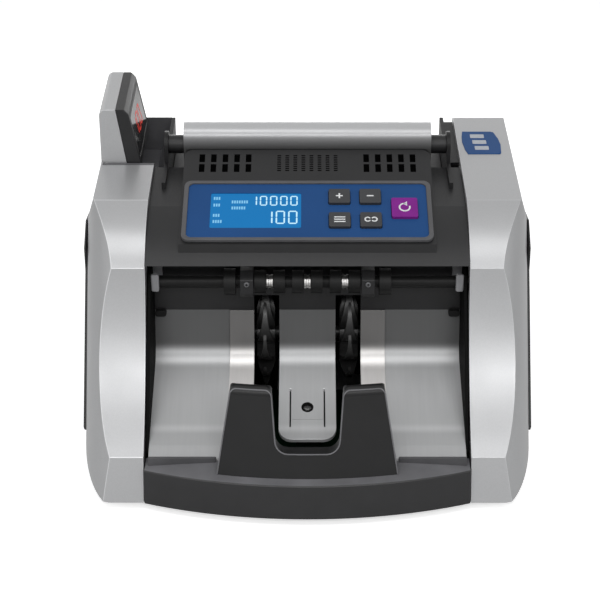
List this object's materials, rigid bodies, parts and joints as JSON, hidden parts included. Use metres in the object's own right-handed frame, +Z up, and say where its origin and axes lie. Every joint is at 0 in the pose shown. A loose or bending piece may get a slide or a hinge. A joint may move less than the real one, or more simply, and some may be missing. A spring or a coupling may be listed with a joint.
{
  "type": "banknote counting machine",
  "caption": "Desktop banknote counter with hopper, feed and exit rollers, finned stacker wheels, control panel with keys and a fold-down display.",
  "frame": {"origin": "middle of the footprint, on the surface that the feet stand on", "axes": "+X to the operator's right, +Y to the rear, +Z up"},
  "size_m": [0.291, 0.24, 0.2296],
  "materials": {
    "silver_paint": "satin silver paint",
    "charcoal_plastic": "fine matt texture",
    "plate_silver": "satin silver paint",
    "bright_steel": "brushed",
    "frame_steel": "black coated",
    "blue_overlay": "printed film",
    "lcd": "backlit",
    "window": "smoked",
    "key_grey": "moulded",
    "key_purple": "moulded",
    "rubber": "matt",
    "rotor_plastic": "moulded",
    "board_green": "solder mask",
    "brass": "turned"
  },
  "bodies": {
    "chassis": {"base_pan": "charcoal_plastic", "board_posts": "brass", "console": "charcoal_plastic", "control_bezel": "charcoal_plastic", "control_overlay": "blue_overlay", "display_cradle": "charcoal_plastic", "drive_belt": "rubber", "exit_cover": "charcoal_plastic", "exit_edge_pads": "rubber", "exit_sensors": "charcoal_plastic", "hopper_bar": "silver_paint", "hopper_bed": "charcoal_plastic", "hopper_belt": "rubber", "hopper_rod": "charcoal_plastic", "left_hopper_guide": "charcoal_plastic", "left_side_frame": "frame_steel", "left_side_panel": "silver_paint", "left_side_trim": "charcoal_plastic", "left_stacker_plate": "plate_silver", "left_stacker_skid": "bright_steel", "lid_pin": "bright_steel", "main_board": "board_green", "motor": "frame_steel", "power_inlet": "charcoal_plastic", "power_supply": "frame_steel", "rear_cover": "charcoal_plastic", "right_hopper_guide": "charcoal_plastic", "right_side_frame": "frame_steel", "right_side_panel": "silver_paint", "right_side_trim": "charcoal_plastic", "right_stacker_plate": "plate_silver", "right_stacker_skid": "bright_steel", "rubber_feet": "rubber", "screen": "lcd", "separator_pad": "rubber", "stacker_guide": "charcoal_plastic", "stacker_tongue": "plate_silver", "switch_housing": "charcoal_plastic", "upper_cover": "charcoal_plastic"},
    "stacker_wheels": {"stacker_rotor": "rotor_plastic"},
    "exit_rollers": {"exit_rotor": "rotor_plastic"},
    "feed_rollers": {"feed_rotor": "rotor_plastic"},
    "pickup_rollers": {"pickup_rotor": "rotor_plastic"},
    "motor_shaft": {"motor_rotor": "rotor_plastic"},
    "display_lid": {"display_lid_shell": "silver_paint", "display_lid_bezel": "charcoal_plastic", "display_lid_window": "window"},
    "plus_key": {"key_plus": "key_grey"},
    "minus_key": {"key_minus": "key_grey"},
    "batch_key": {"key_batch": "key_grey"},
    "mode_key": {"key_mode": "key_grey"},
    "reset_key": {"key_reset": "key_purple"},
    "rocker": {"power_rocker": "charcoal_plastic"},
    "knob": {"gap_knob": "charcoal_plastic"}
  },
  "joints": [
    {"name": "stacker_spin", "type": "hinge", "parent": "chassis", "child": "stacker_wheels", "pos_m": [0, 0.012, 0.074], "axis": [1, 0, 0], "continuous": true},
    {"name": "motor_spin", "type": "hinge", "parent": "chassis", "child": "motor_shaft", "pos_m": [0, 0.07, 0.04], "axis": [1, 0, 0], "continuous": true},
    {"name": "exit_spin", "type": "hinge", "parent": "chassis", "child": "exit_rollers", "pos_m": [0, -0.024, 0.124], "axis": [1, 0, 0], "continuous": true},
    {"name": "feed_spin", "type": "hinge", "parent": "chassis", "child": "feed_rollers", "pos_m": [0, 0.052, 0.15], "axis": [1, 0, 0], "continuous": true},
    {"name": "pickup_spin", "type": "hinge", "parent": "chassis", "child": "pickup_rollers", "pos_m": [0, 0.084, 0.1595], "axis": [1, 0, 0], "continuous": true},
    {"name": "lid_fold", "type": "hinge", "parent": "chassis", "child": "display_lid", "pos_m": [-0.134, 0.07682, 0.18707], "axis": [0, 0.9765, 0.2154], "range_deg": [0, 90]},
    {"name": "plus_press", "type": "slide", "parent": "chassis", "child": "plus_key", "axis": [0, 0.454, -0.891], "range_m": [0, 0.0008], "stiffness_N_per_m": 800},
    {"name": "minus_press", "type": "slide", "parent": "chassis", "child": "minus_key", "axis": [0, 0.454, -0.891], "range_m": [0, 0.0008], "stiffness_N_per_m": 800},
    {"name": "batch_press", "type": "slide", "parent": "chassis", "child": "batch_key", "axis": [0, 0.454, -0.891], "range_m": [0, 0.0008], "stiffness_N_per_m": 800},
    {"name": "mode_press", "type": "slide", "parent": "chassis", "child": "mode_key", "axis": [0, 0.454, -0.891], "range_m": [0, 0.0008], "stiffness_N_per_m": 800},
    {"name": "reset_press", "type": "slide", "parent": "chassis", "child": "reset_key", "axis": [0, 0.454, -0.891], "range_m": [0, 0.0008], "stiffness_N_per_m": 800},
    {"name": "rocker_tilt", "type": "hinge", "parent": "chassis", "child": "rocker", "pos_m": [0.038, 0.112, 0.04], "axis": [0, 0, 1], "range_deg": [0, 14]},
    {"name": "knob_turn", "type": "hinge", "parent": "chassis", "child": "knob", "pos_m": [0.04, 0.067, 0.189], "axis": [0, 1, 0], "range_deg": [-180, 180]}
  ],
  "couplings": [
    {"joint": "motor_spin", "follows": "stacker_spin", "ratio": 1.7778},
    {"joint": "exit_spin", "follows": "stacker_spin", "ratio": 1.7778},
    {"joint": "feed_spin", "follows": "stacker_spin", "ratio": 1.3333},
    {"joint": "pickup_spin", "follows": "stacker_spin", "ratio": 1.6}
  ]
}
